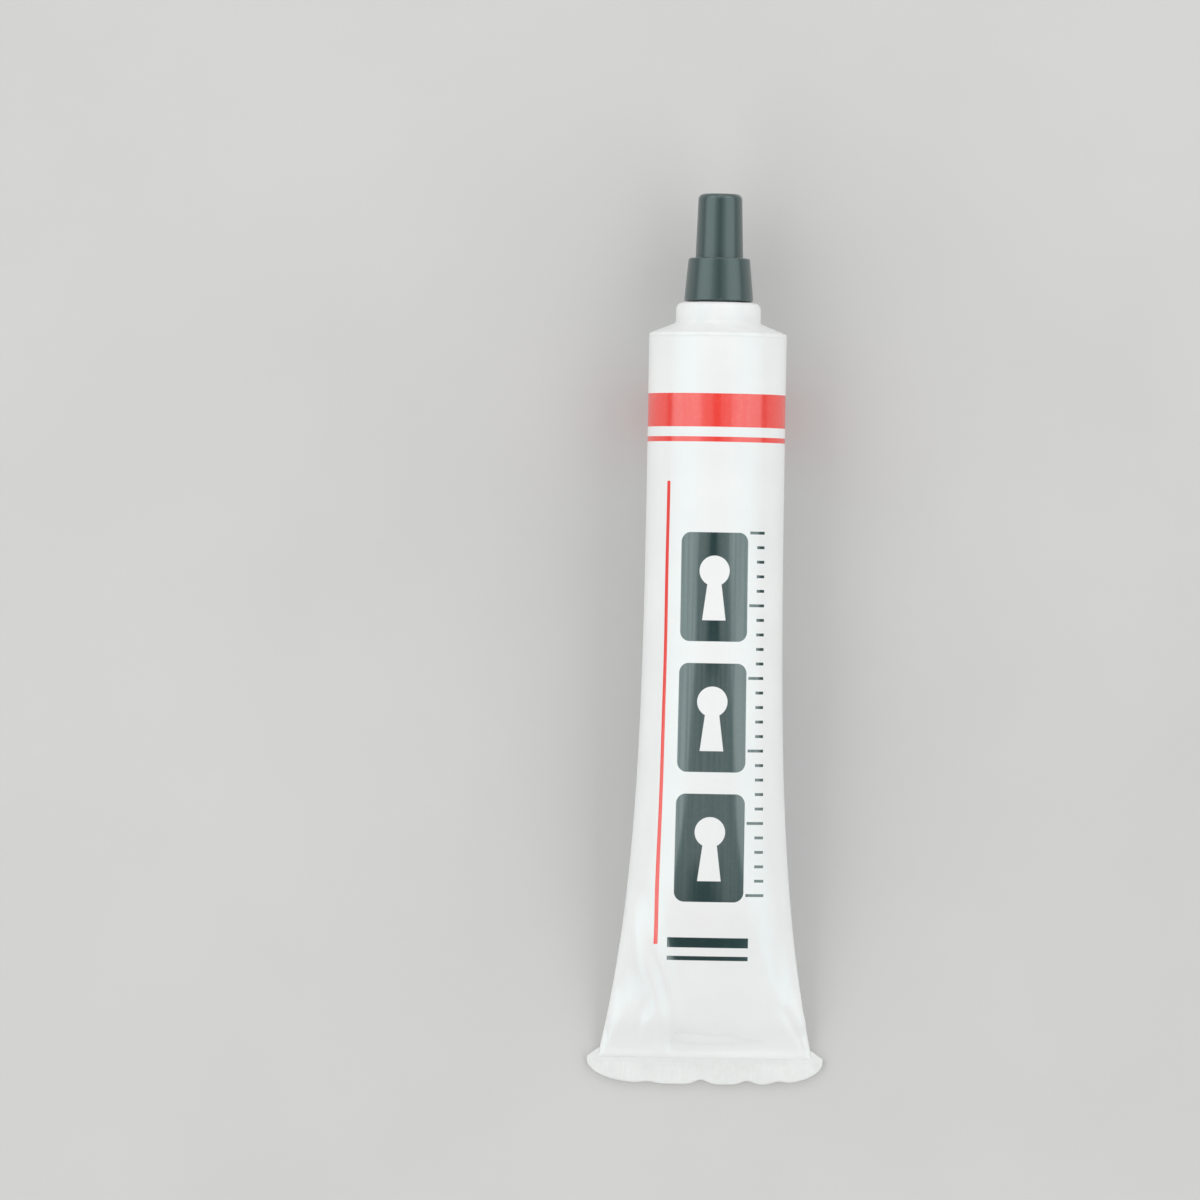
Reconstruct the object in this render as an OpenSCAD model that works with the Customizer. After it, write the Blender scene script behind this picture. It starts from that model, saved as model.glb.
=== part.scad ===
// Squeeze tube for powdered graphite, lying on its back with its tail flat on the table.
// +Y points along the tube towards the cap, +X runs across the flattened tail and +Z is up.
// The origin is at the bottom centre of the whole tube. All sizes are in millimetres.

/* [Sleeve] */
// Outside diameter of the round end of the sleeve
sleeve_d = 19; // [17:0.5:25]
// Length of the sleeve from its rim to the start of the tail seal
sleeve_len = 100; // [70:1:140]
// Thickness of the sleeve's wall
sleeve_wall = 0.5; // [0.3:0.05:0.8]
// How late the sleeve turns from round to flat: a higher number is later
flatten_power = 4.2; // [2:0.1:6]

/* [Tail seal] */
// Length of the fused band at the tail
seal_len = 3.8; // [3:0.1:8]
// Thickness of the fused band
seal_thickness = 0.9; // [0.6:0.05:1.2]
// How far the band spreads past the flattened sleeve on each side
seal_ear = 1.5; // [0.8:0.1:3]
// Length of the band left at the tip of each ear
ear_tip_len = 0.6; // [0.4:0.1:1]
// Depth of the deepest notch in the trimmed edge
notch_depth = 0.65; // [0.2:0.05:1]
// Half width of a notch
notch_half_w = 1.2; // [0.6:0.1:2]

/* [Head] */
// Height of the sloping shoulder
shoulder_h = 1.8; // [1.2:0.1:4]
// Thickness of the shoulder's rim where it covers the end of the sleeve
rim_thickness = 0.6; // [0.4:0.1:0.9]
// Radius of the rim's rounded edge
rim_round = 0.4; // [0.1:0.05:0.4]
// Diameter of the collar under the cap
collar_d = 11.7; // [10.5:0.1:14]
// Height of the collar
collar_h = 3; // [2:0.1:5]
// Radius of the collar's rounded top edge
collar_round = 0.9; // [0.2:0.05:1]
// Radius of the hollow fillet between collar and shoulder
collar_fillet = 0.5; // [0.2:0.05:0.6]
// Depth of the spigot that is welded inside the sleeve
spigot_len = 3; // [2:0.1:6]
// Gap between the spigot and the inside of the sleeve
spigot_gap = 0.05; // [0.03:0.01:0.1]
// Wall thickness of the moulded head
head_wall = 1; // [0.8:0.1:1.3]

/* [Neck and nozzle] */
// Diameter of the neck under its thread
neck_d = 5.5; // [5:0.1:7]
// Height of the threaded neck
neck_h = 5; // [4.5:0.1:8]
// Diameter of the nozzle where it leaves the neck
nozzle_base_d = 4.4; // [3.6:0.1:4.8]
// Diameter of the nozzle at its tip
nozzle_tip_d = 3; // [2.4:0.1:3.5]
// Length of the nozzle above the neck
nozzle_len = 8; // [6:0.1:14]
// Diameter of the outlet
outlet_d = 1.2; // [0.8:0.1:1.6]
// Straight length of the outlet behind the tip
outlet_len = 3.5; // [2:0.1:5]

/* [Thread] */
// Rise of the thread in one turn
thread_pitch = 1.5; // [1.3:0.05:2]
// Height of a thread ridge above its wall
thread_depth = 0.5; // [0.35:0.05:0.6]
// Width of a thread ridge at its foot
thread_foot = 0.7; // [0.5:0.05:0.8]
// Width of a thread ridge at its crest
thread_crest = 0.3; // [0.2:0.05:0.4]
// Gap between a ridge's crest and the wall that it faces
thread_gap = 0.25; // [0.15:0.05:0.35]
// Number of turns in each thread
thread_turns = 2; // [1.5:0.25:2.25]

/* [Cap] */
// Wall thickness at the top of the skirt
skirt_wall = 0.75; // [0.5:0.05:1.5]
// How much wider the skirt is at its mouth, on each side
skirt_flare = 0.55; // [0:0.05:0.9]
// Thickness of the ledge between skirt and tip
ledge_thickness = 0.75; // [0.5:0.05:1.5]
// Wall thickness at the foot of the tip
tip_wall = 0.85; // [0.7:0.05:1.5]
// How much narrower the tip is at its top, on each side
tip_taper = 0.28; // [0:0.02:0.4]
// Thickness of the closed end of the tip
tip_end = 1.2; // [0.8:0.1:2]
// Radius of the rounded edge at the top of the tip
tip_round = 0.8; // [0.3:0.05:1]
// Radius of the rounded edges of the skirt
skirt_round = 0.3; // [0.1:0.05:0.4]
// Gap between the skirt's mouth and the collar when the cap is closed
seat_gap = 0.15; // [0.05:0.05:0.3]
// Gap all round the nozzle inside the tip
nozzle_gap = 0.25; // [0.15:0.05:0.4]
// Gap above the neck inside the skirt
neck_top_gap = 0.4; // [0.2:0.05:0.8]

/* [Sealing wad] */
// Thickness of the sealing wad in the end of the cap
wad_thickness = 0.8; // [0.5:0.1:1.5]
// Gap all round the wad
wad_gap = 0.1; // [0.05:0.01:0.15]
// Gap between the wad and the nozzle's tip when the cap is closed
wad_seat_gap = 0.05; // [0.03:0.01:0.1]

/* [Graphite] */
// Height of the air space above the settled powder
headspace = 2.7; // [1:0.1:4]
// Gap between the powder and the walls around it
fill_gap = 0.2; // [0.1:0.05:0.3]

/* [Hidden] */

// Smoothness of the round parts, and counts of points in the lofted and swept shapes
$fn = 96;
girth_points = 48;
loft_rings = 22;
crowding = 1.5;
thread_steps = 24;
edge_steps = 72;
arc_steps = 8;

// Sleeve
sleeve_r = sleeve_d / 2;
bore_r = sleeve_r - sleeve_wall;
seal_half_t = seal_thickness / 2;
tail_half_w = sleeve_r * PI / 2;
seal_half_w = tail_half_w + seal_ear;
// Least half height of the hollow at its closed end
pinch_half_h = 0.3;
// How square the band's ends are, and how round their lower corners
ear_squareness = 5;
ear_roundness = 0.6;

// Head, measured along the tube from the sleeve's rim
collar_r = collar_d / 2;
seat_z = shoulder_h + collar_h;
neck_r = neck_d / 2;
neck_top_z = seat_z + neck_h;
nozzle_tip_z = neck_top_z + nozzle_len;
spigot_r = bore_r - spigot_gap;
throat_r = neck_r - head_wall;
outlet_r = outlet_d / 2;

// Thread: the cap's ridge runs half a pitch above the neck's ridge
thread_r = neck_r + thread_depth;
skirt_bore_r = thread_r + thread_gap;
thread_sink = 0.15;
thread_start_z = seat_z + (neck_h - thread_turns * thread_pitch) / 2;
cap_thread_start = thread_start_z - seat_z - seat_gap + thread_pitch / 2;

// Cap, measured from the mouth of its skirt
tip_bore_r = nozzle_base_d / 2 + nozzle_gap;
skirt_top_r = skirt_bore_r + skirt_wall;
skirt_mouth_r = skirt_top_r + skirt_flare;
tip_base_r = tip_bore_r + tip_wall;
tip_top_r = tip_base_r - tip_taper;
skirt_depth = neck_h - seat_gap + neck_top_gap;
skirt_h = skirt_depth + ledge_thickness;
wad_z = neck_h + nozzle_len - seat_gap + wad_seat_gap;
tip_depth = wad_z + wad_thickness;
cap_h = tip_depth + tip_end;
mouth_chamfer = 0.35;

// Place of the sleeve's rim in the tube's frame
overall_len = seal_len + sleeve_len + seat_z + seat_gap + cap_h;
tail_y = -overall_len / 2;
seal_y = tail_y + seal_len;
rim_y = seal_y + sleeve_len;

// Powder
fill_level = sleeve_d - sleeve_wall - headspace;
fill_start = (spigot_len + fill_gap) / sleeve_len;

// Notches in the trimmed tail: place as a share of the band's half width, and share of the depth
NOTCHES = [[-0.48, 0.4], [-0.03, 1], [0.36, 0.85], [0.62, 0.55]];

// How far the girth has turned from round, 0, to flat, 1, at a share t of the sleeve's length
function flatness(t) = pow(t, flatten_power);
function half_height(t) = sleeve_r + (seal_half_t - sleeve_r) * flatness(t);
function half_width(t) = sleeve_r + (tail_half_w - sleeve_r) * flatness(t);
// The share of the length at which the sleeve has a given half height
function share_at(half_h) = pow((sleeve_r - half_h) / (sleeve_r - seal_half_t), 1 / flatten_power);

// A point on a flat-sided oval, at a share u of its girth from the middle of its top.
// Its girth stays the same as it flattens, so a point keeps its place on the sleeve's wall.
function oval_point(u, half_w, half_h) =
    let (flat = half_w - half_h,
         side = PI * half_h,
         run = u * (4 * flat + 2 * side))
    run < flat ? [run, half_h] :
    run < flat + side ?
        let (turn = (run - flat) / side * 180)
        [flat + half_h * sin(turn), half_h * cos(turn)] :
    run < 3 * flat + side ? [2 * flat + side - run, -half_h] :
    run < 3 * flat + 2 * side ?
        let (turn = (run - 3 * flat - side) / side * 180)
        [-flat - half_h * sin(turn), -half_h * cos(turn)] :
    [run - 4 * flat - 2 * side, half_h];

// One ring of the sleeve at a share t of its length, drawn in from the outside by inset,
// with nothing above the given level
function sleeve_ring(t, inset, level) =
    let (half_w = half_width(t), half_h = half_height(t))
    [for (i = [0 : girth_points - 1])
        let (p = oval_point(i / girth_points, half_w - inset, half_h - inset))
        [p[0], rim_y - t * sleeve_len, min(half_h + p[1], level)]];

// Shares of the length between two ends, closer together where the sleeve flattens fast
function stations(from, to) =
    [for (i = [0 : loft_rings])
        let (k = i / loft_rings)
        from + (to - from) * (1 - pow(1 - k, crowding))];

// Triangles between rings first and first + 1 of a stack, facing away from its axis
function band(first, points, flip) =
    [for (i = [0 : points - 1])
        let (a = first * points + i,
             b = first * points + (i + 1) % points,
             c = b + points,
             d = a + points)
        each flip ? [[a, b, c], [a, c, d]] : [[a, c, b], [a, d, c]]];

function ring_face(ring, points, flip) =
    [for (i = [0 : points - 1]) ring * points + (flip ? points - 1 - i : i)];

// Faces that close a ring, in upright strips between its upper and its lower side
function end_faces(ring, points, flip) =
    let (first = ring * points,
         half = points / 2,
         quarter = points / 4,
         right = [for (k = [0 : quarter - 2]) [k, k + 1, half - k - 1, half - k]],
         left = [for (k = [0 : quarter - 2]) [half + k, half + k + 1, points - k - 1, (points - k) % points]],
         tips = [[quarter - 1, quarter, quarter + 1],
                 [points - quarter - 1, points - quarter, points - quarter + 1]])
    [for (face = concat(right, left, tips))
        let (last = len(face) - 1)
        [for (i = [0 : last]) first + face[flip ? last - i : i]]];

// A solid through a stack of rings
module loft(rings) {
    points = len(rings[0]);
    last = len(rings) - 1;
    polyhedron(
        [for (ring = rings) each ring],
        concat(
            [for (i = [0 : last - 1]) each band(i, points, true)],
            end_faces(0, points, true),
            end_faces(last, points, false)
        )
    );
}

// A cup between two stacks of rings, open at its first ring
module cup(outer, inner) {
    points = len(outer[0]);
    last = len(outer) - 1;
    lip = (last + 1) * points;
    polyhedron(
        [for (ring = concat(outer, inner)) each ring],
        concat(
            [for (i = [0 : last - 1]) each band(i, points, true)],
            [for (i = [0 : last - 1]) each band(last + 1 + i, points, false)],
            [for (i = [0 : points - 1]) [i, lip + i, lip + (i + 1) % points, (i + 1) % points]],
            end_faces(last, points, false),
            end_faces(2 * last + 1, points, true)
        )
    );
}

function sleeve_rings(from, to, inset, level) =
    [for (t = stations(from, to)) sleeve_ring(t, inset, level)];

// The trimmed edge of the tail band, measured from the start of the seal towards the tail
function band_len(x) =
    ear_tip_len
    + (seal_len - ear_tip_len) * pow(1 - pow(abs(x) / seal_half_w, ear_squareness), ear_roundness);
function notch_at(x, i = 0) =
    i == len(NOTCHES) ? 0 :
    let (across = (x - NOTCHES[i][0] * seal_half_w) / notch_half_w)
    notch_depth * NOTCHES[i][1] * exp(-across * across) + notch_at(x, i + 1);
function trimmed_len(x) = band_len(x) - notch_at(x);

module tail_band() {
    edge = [for (i = [0 : edge_steps])
        let (x = seal_half_w * (2 * i / edge_steps - 1))
        [x, -trimmed_len(x)]];
    translate([0, seal_y, 0])
        linear_extrude(seal_thickness)
            polygon(concat(edge, [[seal_half_w, 0], [-seal_half_w, 0]]));
}

// Soft white sleeve: a round tube that flattens into the fused band at its tail
module sleeve() {
    color("white")
    union() {
        cup(
            sleeve_rings(0, 1, 0, sleeve_d),
            sleeve_rings(0, share_at(sleeve_wall + pinch_half_h), sleeve_wall, sleeve_d)
        );
        tail_band();
    }
}

// Stands a part made along +Z on the sleeve's rim, pointing along the tube
module on_rim(z = 0) {
    translate([0, rim_y + z, sleeve_r])
        rotate([-90, 0, 0])
            children();
}

// Points of an arc about a centre
function arc(centre, r, from, to) =
    [for (i = [0 : arc_steps])
        let (turn = from + (to - from) * i / arc_steps)
        centre + r * [cos(turn), sin(turn)]];

// One helical ridge on a wall of radius wall_r: side is 1 for a ridge that stands out from a
// shaft, and -1 for one that stands into a bore. Its ends fade into the wall.
module thread_ridge(wall_r, side, start_z) {
    count = round(thread_turns * thread_steps);
    fade = thread_steps / 6;
    rings = [for (i = [0 : count])
        let (turn = 360 * i / thread_steps,
             z = start_z + thread_pitch * i / thread_steps,
             rise = thread_depth * min(1, (0.2 + min(i, count - i)) / fade),
             foot_r = wall_r - side * thread_sink,
             crest_r = wall_r + side * rise)
        [for (p = [[foot_r, -thread_foot / 2], [crest_r, -thread_crest / 2],
                   [crest_r, thread_crest / 2], [foot_r, thread_foot / 2]])
            [p[0] * cos(turn), p[0] * sin(turn), z + p[1]]]];
    last = len(rings) - 1;
    polyhedron(
        [for (ring = rings) each ring],
        concat(
            [for (i = [0 : last - 1]) each band(i, 4, side > 0)],
            [ring_face(0, 4, side > 0), ring_face(last, 4, side < 0)]
        )
    );
}

// Moulded white head: spigot, shoulder, collar, threaded neck and slim nozzle in one piece
module head() {
    shoulder_slope = atan2(shoulder_h - rim_thickness, sleeve_r - collar_r - collar_fillet);
    outside = concat(
        [[spigot_r - head_wall, -spigot_len], [spigot_r, -spigot_len], [spigot_r, 0]],
        [[sleeve_r, 0]],
        arc([sleeve_r - rim_round, rim_thickness - rim_round], rim_round, 0, 90 - shoulder_slope),
        arc([collar_r + collar_fillet, shoulder_h + collar_fillet], collar_fillet,
            270 - shoulder_slope, 180),
        arc([collar_r - collar_round, seat_z - collar_round], collar_round, 0, 90),
        [[neck_r, seat_z], [neck_r, neck_top_z], [nozzle_base_d / 2, neck_top_z]],
        [[nozzle_tip_d / 2, nozzle_tip_z]]
    );
    inside = [
        [outlet_r, nozzle_tip_z],
        [outlet_r, nozzle_tip_z - outlet_len],
        [throat_r, neck_top_z],
        [throat_r, seat_z - head_wall / 2],
        [collar_r - head_wall, seat_z - head_wall],
        [collar_r - head_wall, shoulder_h - rim_thickness],
        [spigot_r - head_wall, -rim_thickness]
    ];
    color("white")
    on_rim() {
        rotate_extrude() polygon(concat(outside, inside));
        thread_ridge(neck_r, 1, thread_start_z);
    }
}

// Black screw cap: a flared skirt over the neck and a tall tip over the nozzle
module cap() {
    outside = concat(
        [[skirt_bore_r + mouth_chamfer, 0]],
        arc([skirt_mouth_r - skirt_round, skirt_round], skirt_round, 270, 360),
        arc([skirt_top_r - skirt_round, skirt_h - skirt_round], skirt_round, 0, 90),
        [[tip_base_r, skirt_h]],
        arc([tip_top_r - tip_round, cap_h - tip_round], tip_round, 0, 90)
    );
    inside = [
        [0, cap_h],
        [0, tip_depth],
        [tip_bore_r, tip_depth],
        [tip_bore_r, skirt_depth],
        [skirt_bore_r, skirt_depth],
        [skirt_bore_r, mouth_chamfer]
    ];
    color([0.13, 0.14, 0.14])
    on_rim(seat_z + seat_gap) {
        rotate_extrude() polygon(concat(outside, inside));
        thread_ridge(skirt_bore_r, -1, cap_thread_start);
    }
}

// Soft disc in the closed end of the cap that presses on the nozzle
module sealing_wad() {
    color("gainsboro")
    on_rim(seat_z + seat_gap + wad_z)
        cylinder(r = tip_bore_r - wad_gap, h = wad_thickness);
}

// Loose powder settled on the lower side of the sleeve
module graphite_charge() {
    inset = sleeve_wall + fill_gap;
    color([0.2, 0.2, 0.22])
    loft(sleeve_rings(fill_start, share_at(inset + pinch_half_h), inset, fill_level));
}

sleeve();
head();
cap();
sealing_wad();
graphite_charge();
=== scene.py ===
# %% [markdown]
# # A squeeze tube of graphite powder
# This lesson dresses a small tube for the care of locks: a soft white sleeve, round at one end and
# pressed flat at the other, a moulded head with a threaded neck and a slim nozzle, and a tall black screw
# cap. The CAD model already fixes every size and every joint. Blender adds the soft folds, the crimped
# tail, the print and the finishes. Both work in the same frame, so each piece is made where the CAD says
# it is.

# %% Load the frame
import math

import bmesh
import bpy
import numpy as np
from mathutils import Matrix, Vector


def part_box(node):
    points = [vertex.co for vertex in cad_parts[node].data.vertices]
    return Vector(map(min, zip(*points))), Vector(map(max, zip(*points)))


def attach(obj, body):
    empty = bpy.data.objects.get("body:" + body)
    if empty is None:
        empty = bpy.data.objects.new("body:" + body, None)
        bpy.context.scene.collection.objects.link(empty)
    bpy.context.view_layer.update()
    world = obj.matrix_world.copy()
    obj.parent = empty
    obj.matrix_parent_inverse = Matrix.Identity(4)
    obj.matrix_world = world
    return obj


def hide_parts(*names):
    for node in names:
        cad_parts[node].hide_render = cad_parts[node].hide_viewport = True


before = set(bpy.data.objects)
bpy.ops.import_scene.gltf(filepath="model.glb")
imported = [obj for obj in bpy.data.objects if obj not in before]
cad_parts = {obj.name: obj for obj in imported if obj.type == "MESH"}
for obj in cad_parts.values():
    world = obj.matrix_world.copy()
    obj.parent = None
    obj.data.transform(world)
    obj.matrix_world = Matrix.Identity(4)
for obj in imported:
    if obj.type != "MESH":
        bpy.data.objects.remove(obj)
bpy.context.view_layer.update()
print("CAD nodes:", ", ".join(sorted(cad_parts)))

# %% [markdown]
# ## Sizes
# All sizes here are millimetres, because a tube is drawn in millimetres, and they become metres only
# where a mesh gets its points. The places come from the CAD nodes' boxes. +Y runs along the tube to the
# cap, the tube's axis lies one radius above the floor, and distances along the tube count from the rim of
# the sleeve. The sleeve follows one rule: its girth stays the same while its height shrinks, so it is
# wide where it is flat. The rule is written once, and it works on plain numbers, on arrays and on node
# sockets alike.

# %% Sizes and the flattening rule
MM = 0.001
SLEEVE_LEN = 100
SLEEVE_WALL = 0.5
FLATTEN_POWER = 4.2
BAND_LEN = 3.8
BAND_THICKNESS = 0.9

rim_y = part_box("sleeve")[1].y / MM
sleeve_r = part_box("sleeve")[1].z / MM / 2
band_half_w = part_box("sleeve")[1].x / MM
mouth_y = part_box("cap")[0].y / MM
wad_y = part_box("sealing_wad")[0].y / MM
axis_z = sleeve_r


def half_height(along):
    """Half the sleeve's height at a share of its length, from 0 at the rim to 1 at the tail."""
    return sleeve_r + (BAND_THICKNESS / 2 - sleeve_r) * along ** FLATTEN_POWER


def half_width(along):
    """Half the sleeve's width there: a flat tube is a quarter of its girth to each side."""
    return sleeve_r + sleeve_r * (math.pi / 2 - 1) * along ** FLATTEN_POWER


def share_at(half_h):
    """The share of the length at which the sleeve has this half height."""
    return ((sleeve_r - half_h) / (sleeve_r - BAND_THICKNESS / 2)) ** (1 / FLATTEN_POWER)


print(f"sleeve {2 * sleeve_r:.1f} mm round, tail {2 * half_width(1):.1f} mm wide")
print(f"rim at y = {rim_y:.2f} mm, axis at z = {axis_z:.2f} mm")

# %% [markdown]
# ## Sums on sockets
# A node tree is a sum drawn as boxes and wires. Written in a script, a sum of ten nodes soon takes forty
# lines. So one small class wraps a socket: an ordinary Python expression on it adds the Math nodes. Every
# other node comes from its `node` method. It serves shader trees and Geometry Nodes trees, which share
# these nodes.

# %% The Wire class
class Wire:
    """A socket in a node tree. Sums written with it add Math nodes to that tree."""

    def __init__(self, tree, socket):
        self.tree = tree
        self.socket = socket

    @classmethod
    def node(cls, tree, kind, settings=(), sockets=(), output=0):
        """Adds a node, with its settings first, sets or links its sockets, and wraps one output."""
        made = tree.nodes.new(kind)
        for name, value in dict(settings).items():
            setattr(made, name, value)
        cls.plug(tree, made, dict(sockets))
        return cls(tree, made.outputs[output])

    @staticmethod
    def plug(tree, made, sockets):
        """Gives a node's sockets, by name or number, a value or a link."""
        for key, value in sockets.items():
            if isinstance(value, Wire):
                tree.links.new(value.socket, made.inputs[key])
            else:
                made.inputs[key].default_value = value

    def math(self, operation, *values, clamp=False):
        settings = {"operation": operation, "use_clamp": clamp}
        return Wire.node(self.tree, "ShaderNodeMath", settings, dict(enumerate(values)))

    def __add__(self, other):
        return self.math("ADD", self, other)

    def __radd__(self, other):
        return self.math("ADD", other, self)

    def __sub__(self, other):
        return self.math("SUBTRACT", self, other)

    def __rsub__(self, other):
        return self.math("SUBTRACT", other, self)

    def __mul__(self, other):
        return self.math("MULTIPLY", self, other)

    def __rmul__(self, other):
        return self.math("MULTIPLY", other, self)

    def __truediv__(self, other):
        return self.math("DIVIDE", self, other)

    def __rtruediv__(self, other):
        return self.math("DIVIDE", other, self)

    def __pow__(self, other):
        return self.math("POWER", self, other)

    def __mod__(self, other):
        return self.math("FLOORED_MODULO", self, other)

    def __lt__(self, other):
        return self.math("LESS_THAN", self, other)

    def __gt__(self, other):
        return self.math("GREATER_THAN", self, other)

    def __abs__(self):
        return self.math("ABSOLUTE", self)

    def at_least(self, other):
        return self.math("MAXIMUM", self, other)

    def at_most(self, other):
        return self.math("MINIMUM", self, other)

    def sin(self):
        return self.math("SINE", self)

    def cos(self):
        return self.math("COSINE", self)

    def part(self, axis):
        """One number of a vector: X, Y or Z."""
        return Wire.node(self.tree, "ShaderNodeSeparateXYZ", {}, {0: self}, axis)

    def stretched(self, xyz):
        """A vector with each of its numbers multiplied."""
        return Wire.node(self.tree, "ShaderNodeVectorMath", {"operation": "MULTIPLY"}, {0: self, 1: xyz})


def vector(x, y, z):
    return Wire.node(x.tree, "ShaderNodeCombineXYZ", {}, {"X": x, "Y": y, "Z": z})


print("Wire ready")

# %% [markdown]
# ## Growing a mesh by a rule
# The sleeve, its band, both threads and the powder each follow a rule, so they are grown by Geometry
# Nodes: a flat grid is laid out and every point of it is moved to its place by a sum. Joining circles by
# hand would work too, but then a new size means new handwork, while a tree only needs another number in a
# named input. A tree ends by merging its seams, making instances real and setting the finish. The result
# is copied to a plain mesh and the modifier is taken off, because the parts library keeps plain meshes.

# %% Tree helpers
SEAM = 0.002
SHARP_EDGE = math.radians(40)


def new_tree(name, sizes):
    """An empty tree with one named input for each size, and those inputs as Wires."""
    tree = bpy.data.node_groups.new(name, "GeometryNodeTree")
    tree.interface.new_socket("Mesh", in_out="OUTPUT", socket_type="NodeSocketGeometry")
    for label, value in sizes.items():
        kind = {int: "Int", float: "Float"}.get(type(value), "Material")
        tree.interface.new_socket(label, in_out="INPUT", socket_type="NodeSocket" + kind)
    source = tree.nodes.new("NodeGroupInput")
    return tree, {label: Wire(tree, source.outputs[label]) for label in sizes}


def new_grid(tree, width, height, columns, rows):
    """A flat grid about the origin, and where a point lies across and up it."""
    sockets = {"Size X": width, "Size Y": height, "Vertices X": columns, "Vertices Y": rows}
    grid = Wire.node(tree, "GeometryNodeMeshGrid", {}, sockets)
    spot = Wire.node(tree, "GeometryNodeInputPosition")
    return grid, spot.part("X"), spot.part("Y")


def close_tree(grid, place, finish):
    """Moves the grid's points to their places, in mm, and ends the tree."""
    mesh = grid
    for kind, sockets in (
        ("GeometryNodeSetPosition", {"Position": place.stretched((MM, MM, MM))}),
        ("GeometryNodeMergeByDistance", {"Distance": SEAM * MM}),
        ("GeometryNodeSetShadeSmooth", {}),
        ("GeometryNodeRealizeInstances", {}),
        ("GeometryNodeSetMaterial", {"Material": finish}),
    ):
        mesh = Wire.node(grid.tree, kind, {}, {"Geometry": mesh, **sockets})
    end = grid.tree.nodes.new("NodeGroupOutput")
    grid.tree.links.new(mesh.socket, end.inputs[0])


def face_outwards(mesh):
    shape = bmesh.new()
    shape.from_mesh(mesh)
    bmesh.ops.recalc_face_normals(shape, faces=shape.faces)
    shape.to_mesh(mesh)
    shape.free()
    mesh.set_sharp_from_angle(angle=SHARP_EDGE)


def grown(name, tree, sizes):
    """The plain mesh piece that a tree grows from these sizes."""
    seed = bpy.data.meshes.new(name + "_seed")
    piece = bpy.data.objects.new(name, seed)
    bpy.context.collection.objects.link(piece)
    modifier = piece.modifiers.new("rule", "NODES")
    modifier.node_group = tree
    for item in tree.interface.items_tree:
        if item.in_out == "INPUT":
            modifier[item.identifier] = sizes[item.name]
    shape = piece.evaluated_get(bpy.context.evaluated_depsgraph_get())
    piece.data = bpy.data.meshes.new_from_object(shape)
    piece.modifiers.remove(modifier)
    bpy.data.meshes.remove(seed)
    face_outwards(piece.data)
    return piece


def hand_over(piece, body, node):
    """The piece moves with a body and stands in for a CAD node, which is hidden."""
    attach(piece, body)
    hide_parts(node)
    print(f"{piece.name}: {len(piece.data.polygons)} faces on {body}, for {node}")


print("tree helpers ready")

# %% [markdown]
# ## Turning a profile
# Head, cap and wad are round moulded pieces. A modifier could spin them, but a short loop that lays ring
# upon ring keeps every point under control and closes the poles by itself. A moulded corner is never
# razor sharp: `rounded` puts a true arc at each corner of a profile, and one more point on either side of
# it, so that the smooth shading of the arc doesn't leak into the flat faces beside it.

# %% Lathe helpers
ARC_STEPS = 6
HOLD_SHARE = 0.4
ROOM_SHARE = 0.45


def rounded(corners):
    """A profile from (radius, height, rounding) corners, with an arc in place of each rounded corner."""
    points = []
    steps = np.linspace(0, 1, ARC_STEPS + 1)[:, None]
    for i, (radius, height, rounding) in enumerate(corners):
        here = np.array([radius, height], float)
        back = np.array(corners[i - 1][:2]) - here
        onward = np.array(corners[(i + 1) % len(corners)][:2]) - here
        room = min(np.linalg.norm(back), np.linalg.norm(onward)) * ROOM_SHARE
        back = back / np.linalg.norm(back)
        onward = onward / np.linalg.norm(onward)
        half_angle = math.acos(max(-1, min(1, back @ onward))) / 2
        reach = min(rounding / math.tan(half_angle), room / (1 + HOLD_SHARE))
        if rounding == 0:
            points.append(here)
            continue
        pull = 2 * steps * (1 - steps) * math.sin(half_angle)
        start, end = here + back * reach, here + onward * reach
        weight = (1 - steps) ** 2 + pull + steps**2
        arc = ((1 - steps) ** 2 * start + pull * here + steps**2 * end) / weight
        hold = reach * HOLD_SHARE
        points += [start + back * hold, *arc, end + onward * hold]
    return points


def lathe(name, profile, base_y, finish, segments=128):
    """A closed piece spun about the tube's axis. Its profile's heights count from base_y to the cap."""
    shape = bmesh.new()
    rings = []
    for radius, height in profile:
        count = segments if radius > SEAM else 1
        turns = [2 * math.pi * i / count for i in range(count)]
        spots = [(radius * math.cos(a), base_y + height, axis_z - radius * math.sin(a)) for a in turns]
        rings.append([shape.verts.new([value * MM for value in spot]) for spot in spots])
    if len(rings[0]) > 1:
        rings.append(rings[0])
    for low, high in zip(rings, rings[1:]):
        for i in range(segments):
            corners = [low[i % len(low)], low[(i + 1) % len(low)]]
            corners += [high[(i + 1) % len(high)], high[i % len(high)]]
            shape.faces.new(list(dict.fromkeys(corners))).smooth = True
    mesh = bpy.data.meshes.new(name)
    shape.to_mesh(mesh)
    shape.free()
    mesh.materials.append(finish)
    face_outwards(mesh)
    piece = bpy.data.objects.new(name, mesh)
    bpy.context.collection.objects.link(piece)
    return piece


def add_mesh(piece, other):
    """Puts another piece's mesh into this one and takes the other away."""
    shape = bmesh.new()
    shape.from_mesh(piece.data)
    shape.from_mesh(other.data)
    shape.to_mesh(piece.data)
    shape.free()
    bpy.data.objects.remove(other)


print("lathe helpers ready")

# %% [markdown]
# ## Finishes
# Each finish is a Principled shader. What changes over a surface, such as a tint, a scuff or a fine
# grain, comes from noise in the piece's own space, so it stays in place as the piece moves. What is the
# same all over is a plain number on the shader's socket.

# %% Finish helpers
def new_finish(name):
    """A node material: the material, its tree and its place in mm."""
    finish = bpy.data.materials.new(name)
    finish.use_nodes = True
    tree = finish.node_tree
    spot = Wire.node(tree, "ShaderNodeTexCoord", {}, {}, "Object")
    return finish, tree, spot.stretched((1 / MM, 1 / MM, 1 / MM))


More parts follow.
